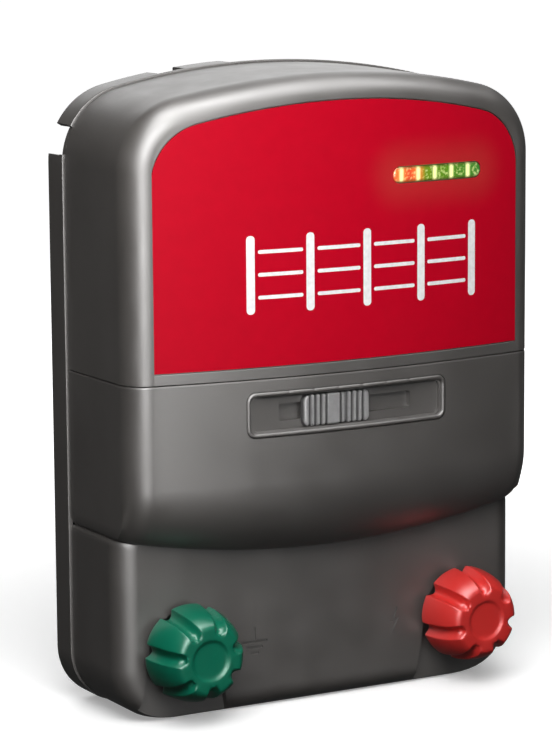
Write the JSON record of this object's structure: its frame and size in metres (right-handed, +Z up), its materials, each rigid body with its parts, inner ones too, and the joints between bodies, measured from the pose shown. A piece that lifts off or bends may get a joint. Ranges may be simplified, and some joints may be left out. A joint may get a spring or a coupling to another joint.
{
  "type": "fence energizer",
  "caption": "Wall-hung electric fence energizer: arched two-piece cover on a rear case, lamp window, slide switch and two knob terminals at the base.",
  "frame": {"origin": "middle of the overall box at the level of the base", "axes": "+Z up the case, +Y out of the back towards the wall, -Y out of the front, +X to the right as seen from the front"},
  "size_m": [0.19, 0.078, 0.2605],
  "materials": {
    "case_grey": "fine satin texture",
    "label_red": "smooth self-adhesive film",
    "lens_clear": "clear, slightly glossy",
    "knob_green": "satin moulded",
    "knob_red": "satin moulded",
    "slider_grey": "satin moulded",
    "rubber_black": "soft matte",
    "board_green": "solder mask",
    "steel": "plated",
    "brass": "turned",
    "copper": "enamelled copper winding",
    "core_grey": "laminated, varnished",
    "aluminium": "extruded",
    "can_blue": "sleeved can",
    "plastic_black": "moulded",
    "wire_red": "insulated lead",
    "wire_green": "insulated lead",
    "lamp_cell_1_light": "lit from behind",
    "lamp_cell_2_light": "lit from behind",
    "lamp_cell_3_light": "lit from behind",
    "lamp_cell_4_light": "lit from behind",
    "lamp_cell_5_light": "lit from behind",
    "lamp_cell_6_light": "lit from behind"
  },
  "bodies": {
    "housing": {"rear_case": "case_grey", "upper_cover": "case_grey", "lower_cover": "case_grey", "case_seal": "rubber_black", "front_label": "label_red", "lamp_lens": "lens_clear", "lamp_board": "board_green", "main_board": "board_green", "output_transformer_core": "core_grey", "output_transformer_coil": "copper", "charging_choke": "copper", "thyristor": "plastic_black", "heat_sink": "aluminium", "power_inlet": "plastic_black", "slide_switch": "plastic_black", "switch_board": "board_green", "switch_bezel": "case_grey", "earth_stud": "steel", "fence_stud": "steel", "earth_nut": "brass", "fence_nut": "brass", "earth_seal": "rubber_black", "fence_seal": "rubber_black", "earth_lead": "wire_green", "fence_lead": "wire_red", "case_screw_1": "steel", "case_screw_2": "steel", "case_screw_3": "steel", "case_screw_4": "steel", "case_screw_5": "steel", "case_screw_6": "steel", "lamp_cell_1": "lamp_cell_1_light", "lamp_cell_2": "lamp_cell_2_light", "lamp_cell_3": "lamp_cell_3_light", "lamp_cell_4": "lamp_cell_4_light", "lamp_cell_5": "lamp_cell_5_light", "lamp_cell_6": "lamp_cell_6_light", "storage_capacitor_1": "can_blue", "storage_capacitor_2": "can_blue", "storage_capacitor_3": "can_blue"},
    "mode_slider": {"slider_thumb": "slider_grey", "slider_carriage": "plastic_black"},
    "earth_clamp": {"earth_washer": "steel"},
    "earth_turn_knob": {"earth_knob": "knob_green", "earth_insert": "brass"},
    "fence_clamp": {"fence_washer": "steel"},
    "fence_turn_knob": {"fence_knob": "knob_red", "fence_insert": "brass"}
  },
  "joints": [
    {"name": "mode_slide", "type": "slide", "parent": "housing", "child": "mode_slider", "axis": [1, 0, 0], "range_m": [-0.0224, 0.0336]},
    {"name": "earth_clamp_slide", "type": "slide", "parent": "housing", "child": "earth_clamp", "axis": [0, -1, 0], "range_m": [0, 0.00625]},
    {"name": "earth_knob_turn", "type": "hinge", "parent": "earth_clamp", "child": "earth_turn_knob", "pos_m": [-0.0648, -0.0185, 0.0295], "axis": [0, -1, 0], "range_deg": [0, 1800]},
    {"name": "fence_clamp_slide", "type": "slide", "parent": "housing", "child": "fence_clamp", "axis": [0, -1, 0], "range_m": [0, 0.00625]},
    {"name": "fence_knob_turn", "type": "hinge", "parent": "fence_clamp", "child": "fence_turn_knob", "pos_m": [0.0648, -0.0185, 0.0295], "axis": [0, -1, 0], "range_deg": [0, 1800]}
  ],
  "couplings": [
    {"joint": "earth_knob_turn", "follows": "earth_clamp_slide", "rad_per_m": 5026.5},
    {"joint": "fence_knob_turn", "follows": "fence_clamp_slide", "rad_per_m": 5026.5}
  ]
}
